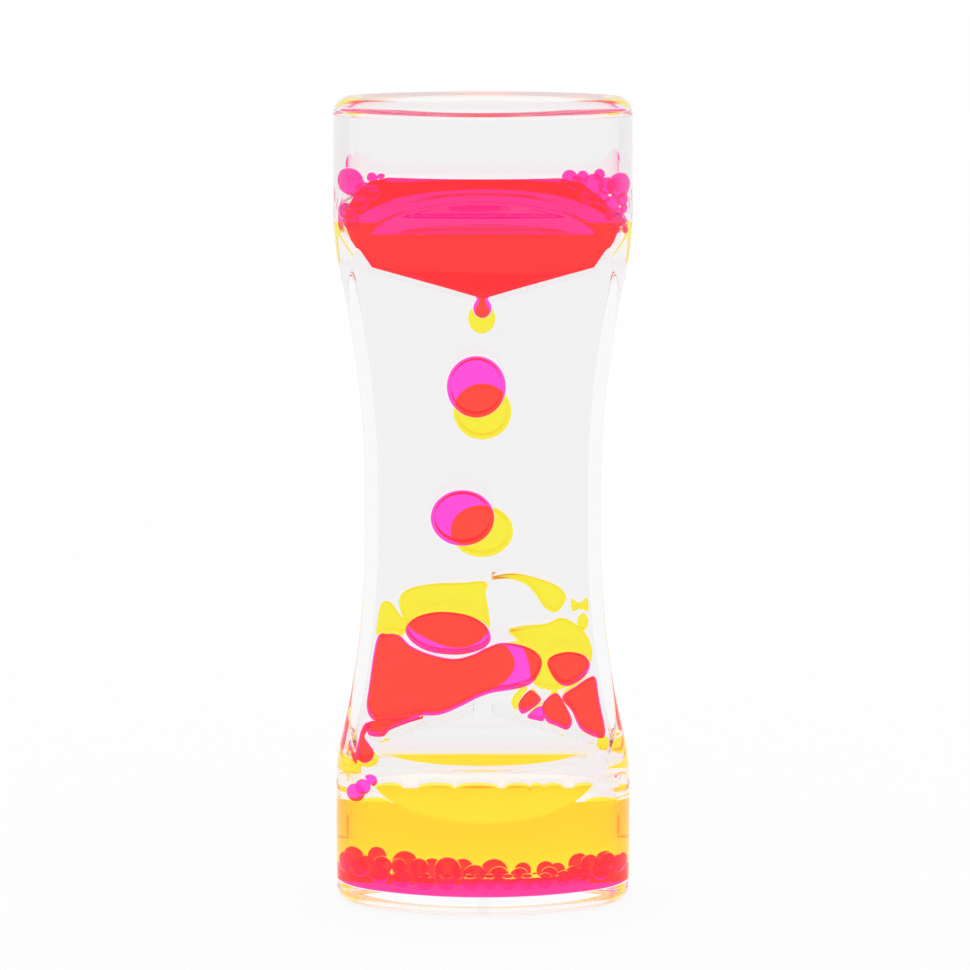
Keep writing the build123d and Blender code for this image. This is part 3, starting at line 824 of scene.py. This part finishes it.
# %% Nozzle drops
SPIN_STEPS, BALL_STEPS = 40, 14
NECK_RADIUS, NECK_START, NECK_FLARE = 0.95, 1.3, 1.25
NECK_TOP = TRAY_HEIGHT + 0.3
CHAMBER_CENTRE = (DIVIDER / 2 + WINDOW_REACH) / 2
NOZZLE_DROPS = [
    ("magenta", FRONT, MAGENTA_FINISH, -0.1, (100.5, 1.6, 1.7)),
    ("yellow", BACK, YELLOW_FINISH, -0.2, (98.3, 2.4, 2.6)),
]


def hanging_drop(z, radius, half_height):
    """Profile of a drop with a neck above it, from its foot up."""
    turns = [pi * i / BALL_STEPS for i in range(BALL_STEPS + 1)]
    ball = [(radius * sin(t), z - half_height * cos(t)) for t in turns]
    bulb = [(r, h) for r, h in ball if h <= z or r > NECK_RADIUS * NECK_START]
    neck = [(NECK_RADIUS, (bulb[-1][1] + NECK_TOP) / 2), (NECK_RADIUS * NECK_FLARE, NECK_TOP)]
    return bulb + neck + [(0, NECK_TOP)]


for dye, nozzle_side, nozzle_finish, nozzle_x, nozzle_shape in NOZZLE_DROPS:
    nozzle = spun(hanging_drop(*nozzle_shape), nozzle_x, nozzle_side * CHAMBER_CENTRE, SPIN_STEPS)
    keep_liquid(dye + "_nozzle_form", nozzle, nozzle_finish, [dye + "_nozzle_drop"])

# %% Drips at the roof's ends
MAGENTA_LEFT_DRIP_PX = [
    (372, 723), (365, 734), (369, 742), (374, 750), (373, 758), (366, 763), (359, 759), (357, 750),
    (359, 739), (361, 730), (365, 722),
]
YELLOW_LEFT_DRIP_PX = [
    (371, 725), (365, 735), (367, 745), (375, 754), (379, 763), (373, 771), (363, 771), (357, 764),
    (359, 751), (361, 736), (365, 724),
]
RIGHT_DRIP_PX = [(598, 737), (606, 736), (609, 743), (608, 750), (602, 752), (597, 748), (596, 742)]
magenta_drips = pressed_from([MAGENTA_LEFT_DRIP_PX], FRONT)
keep_liquid("magenta_drip_forms", magenta_drips, MAGENTA_FINISH, ["magenta_side_drips"])
yellow_drips = pressed_from([YELLOW_LEFT_DRIP_PX, RIGHT_DRIP_PX], BACK)
keep_liquid("yellow_drip_forms", yellow_drips, YELLOW_FINISH, ["yellow_side_drips"])

# %% [markdown]
# ## Blobs just landed on the floor pool
# A drop that has run off the roof rests on the floor's pool for a while before it merges. It shows as
# a low bump in the pool's straight edge, so each is a flat oval that is half sunk in the pool.

# %% Bumps on the yellow pool
BUMP_LEVEL_PX, BUMP_HEIGHT_PX = 799, 5
BUMPS_PX = [(389, 15), (436, 19), (477, 22), (518, 14), (537, 9), (553, 12), (586, 14)]
bump_outlines = [oval(x, BUMP_LEVEL_PX, reach, BUMP_HEIGHT_PX) for x, reach in BUMPS_PX]
keep_liquid("yellow_floor_bumps", pressed_from(bump_outlines, BACK), YELLOW_FINISH)

# %% [markdown]
# ## Beads
# Beads that have sunk to the floor or floated up to the pool stay as balls for a while, because the
# clear liquid between them drains slowly. They are placed from the picture, row by row, and a bead
# that would reach into the curved front wall is moved back.

# %% Beads
BEAD_SIDES, BEAD_RINGS = 24, 16


def balls(beads):
    """Balls from a list of (x, y, z, radius)."""
    bm = bmesh.new()
    for x, y, z, radius in beads:
        place = Matrix.Translation((x, y, z))
        bmesh.ops.create_uvsphere(
            bm, u_segments=BEAD_SIDES, v_segments=BEAD_RINGS, radius=radius, matrix=place
        )
    return bm


def beads_from(row_px, depth, towards):
    """Beads from (x, top y, radius) in the picture, at one depth, seen on a plane some way forward."""
    beads = []
    for x_px, top_px, radius_px in row_px:
        x, z = from_picture((x_px, top_px + radius_px), towards)
        radius = from_picture((x_px + radius_px, top_px + radius_px), towards)[0] - x
        room = sqrt((FLANK_ROUND - WALL - WALL_FILM - radius) ** 2 - x**2) - FLANK_CENTRE
        beads.append((x, -min(depth, room), z, radius))
    return beads


# %% Beads on the floor
BACK_ROW_PX = [
    (352, 856, 9), (360, 849, 11), (384, 848, 10), (411.5, 851, 13), (437, 858, 10), (465, 858, 10),
    (493, 858, 13), (519, 862, 8), (540, 861, 9), (551, 863, 8), (572, 854, 11), (598, 853, 10),
    (616, 857, 8),
]
FRONT_ROW_PX = [
    (370, 859, 9), (386, 857.5, 10), (403, 859.4, 8), (423, 858.4, 9), (450, 856.5, 13),
    (475.6, 864, 12), (497.6, 866, 10), (517, 867.4, 9), (532, 872.4, 6),
    (545.5, 867, 9), (569.4, 866.6, 9), (585.6, 856.5, 10), (603, 857.4, 8), (612, 861, 7),
]
FOOT_ROW_PX = [
    (350, 866, 8), (364, 866, 9), (383, 870, 9.5), (405, 872, 9.5), (427, 873, 9.5), (448, 873, 9.5),
    (471, 873.5, 9), (489, 873.5, 8.5), (507, 873.5, 9), (525, 873.5, 8.5), (543, 873, 8.5),
    (561, 872, 8.5), (579, 871, 9), (597, 869, 9), (613, 866, 8),
]
ROWS = [(BACK_ROW_PX, 4.2, 7.8), (FRONT_ROW_PX, 7.6, 10.1), (FOOT_ROW_PX, 10.2, 11.9)]

floor_beads = balls([bead for row in ROWS for bead in beads_from(*row)])
add_copy(floor_beads, lower_pool(FRONT, MAGENTA_LOW))
keep_liquid("magenta_floor_beads", floor_beads, DEEP_MAGENTA_FINISH, ["magenta_lower_beads"])

# %% Beads higher up
UPPER_BEADS_PX = [
    (357, 169, 14), (378.5, 173, 5.5), (388, 174, 5), (368, 184, 7), (352, 204, 9), (357, 214, 9),
    (367, 196, 8), (378, 186, 8), (563, 170, 8), (570, 176, 8), (576, 171, 6), (587, 174, 11),
    (593, 169.5, 6), (601, 178, 9), (612, 174, 13), (583, 190, 8), (595, 192, 8), (606, 197, 8),
    (617, 194, 7), (613, 209, 6), (619, 205, 5), (604, 212, 5), (617, 219, 5),
    (610, 226, 5), (621, 228, 4),
]
STRAY_BEADS_PX = [(361.8, 786.4, 9.6), (369.5, 781.5, 8)]
UPPER_BEAD_DEPTH, UPPER_BEAD_PLANE = 4.4, 8.3

upper_beads = balls(beads_from(UPPER_BEADS_PX, UPPER_BEAD_DEPTH, UPPER_BEAD_PLANE))
keep_liquid("magenta_floating_beads", upper_beads, DEEP_MAGENTA_FINISH, ["magenta_upper_beads"])
stray_beads = balls(beads_from(STRAY_BEADS_PX, UPPER_BEAD_DEPTH, UPPER_BEAD_PLANE))
keep_liquid("magenta_stray_forms", stray_beads, MAGENTA_FINISH, ["magenta_stray_beads"])

# %% [markdown]
# ## Floor and light
# The timer stands on a plain white table in soft light from all round. The floor shows pure white to
# the camera and to the plastic, mixed with a little of its own shading, so that a faint shadow stays.

# %% Floor, world and light paths
FLOOR_SIZE = 3.0
FLOOR_WHITENESS = 0.9
FLOOR_COLOUR, FLOOR_ROUGHNESS = (0.92, 0.92, 0.92), 0.9

floor_bm = bmesh.new()
bmesh.ops.create_grid(floor_bm, x_segments=1, y_segments=1, size=FLOOR_SIZE / 2)
floor_mesh = bpy.data.meshes.new("floor")
floor_bm.to_mesh(floor_mesh)
floor_bm.free()
floor = bpy.data.objects.new("floor", floor_mesh)
bpy.context.scene.collection.objects.link(floor)

floor_material = bpy.data.materials.new("table_top")
floor_material.use_nodes = True
floor_tree = floor_material.node_tree
floor_shader = floor_tree.nodes["Principled BSDF"]
floor_shader.inputs["Base Color"].default_value = (*FLOOR_COLOUR, 1)
floor_shader.inputs["Roughness"].default_value = FLOOR_ROUGHNESS
light_path = floor_tree.nodes.new("ShaderNodeLightPath")
white = floor_tree.nodes.new("ShaderNodeEmission")
mixer = floor_tree.nodes.new("ShaderNodeMixShader")


def combined(operation, first, second):
    """A math node on two sockets, or on a socket and a number."""
    node = floor_tree.nodes.new("ShaderNodeMath")
    node.operation = operation
    floor_tree.links.new(first, node.inputs[0])
    if isinstance(second, float):
        node.inputs[1].default_value = second
    else:
        floor_tree.links.new(second, node.inputs[1])
    return node.outputs["Value"]


seen = light_path.outputs
camera_share = combined("MULTIPLY", seen["Is Camera Ray"], FLOOR_WHITENESS)
through_share = combined("MAXIMUM", seen["Is Glossy Ray"], seen["Is Transmission Ray"])
white_share = combined("MAXIMUM", camera_share, through_share)
floor_tree.links.new(white_share, mixer.inputs["Fac"])
floor_tree.links.new(floor_shader.outputs["BSDF"], mixer.inputs[1])
floor_tree.links.new(white.outputs["Emission"], mixer.inputs[2])
floor_tree.links.new(mixer.outputs["Shader"], floor_tree.nodes["Material Output"].inputs["Surface"])
floor_mesh.materials.append(floor_material)

world = bpy.data.worlds.new("soft_room")
world.use_nodes = True
world.node_tree.nodes["Background"].inputs["Color"].default_value = (1, 1, 1, 1)
world.node_tree.nodes["Background"].inputs["Strength"].default_value = 1.0
bpy.context.scene.world = world

# %% [markdown]
# ## Light paths
# A ray crosses the plastic, the liquid, a blob and the divider before it leaves again, and inside the
# walls it can be thrown to and fro many times. Too few bounces would leave black streaks there.

# %% Bounces
BOUNCES = 32
bpy.context.scene.cycles.max_bounces = BOUNCES
bpy.context.scene.cycles.transmission_bounces = BOUNCES
bpy.context.scene.cycles.glossy_bounces = BOUNCES
bpy.context.scene.view_settings.view_transform = "Standard"
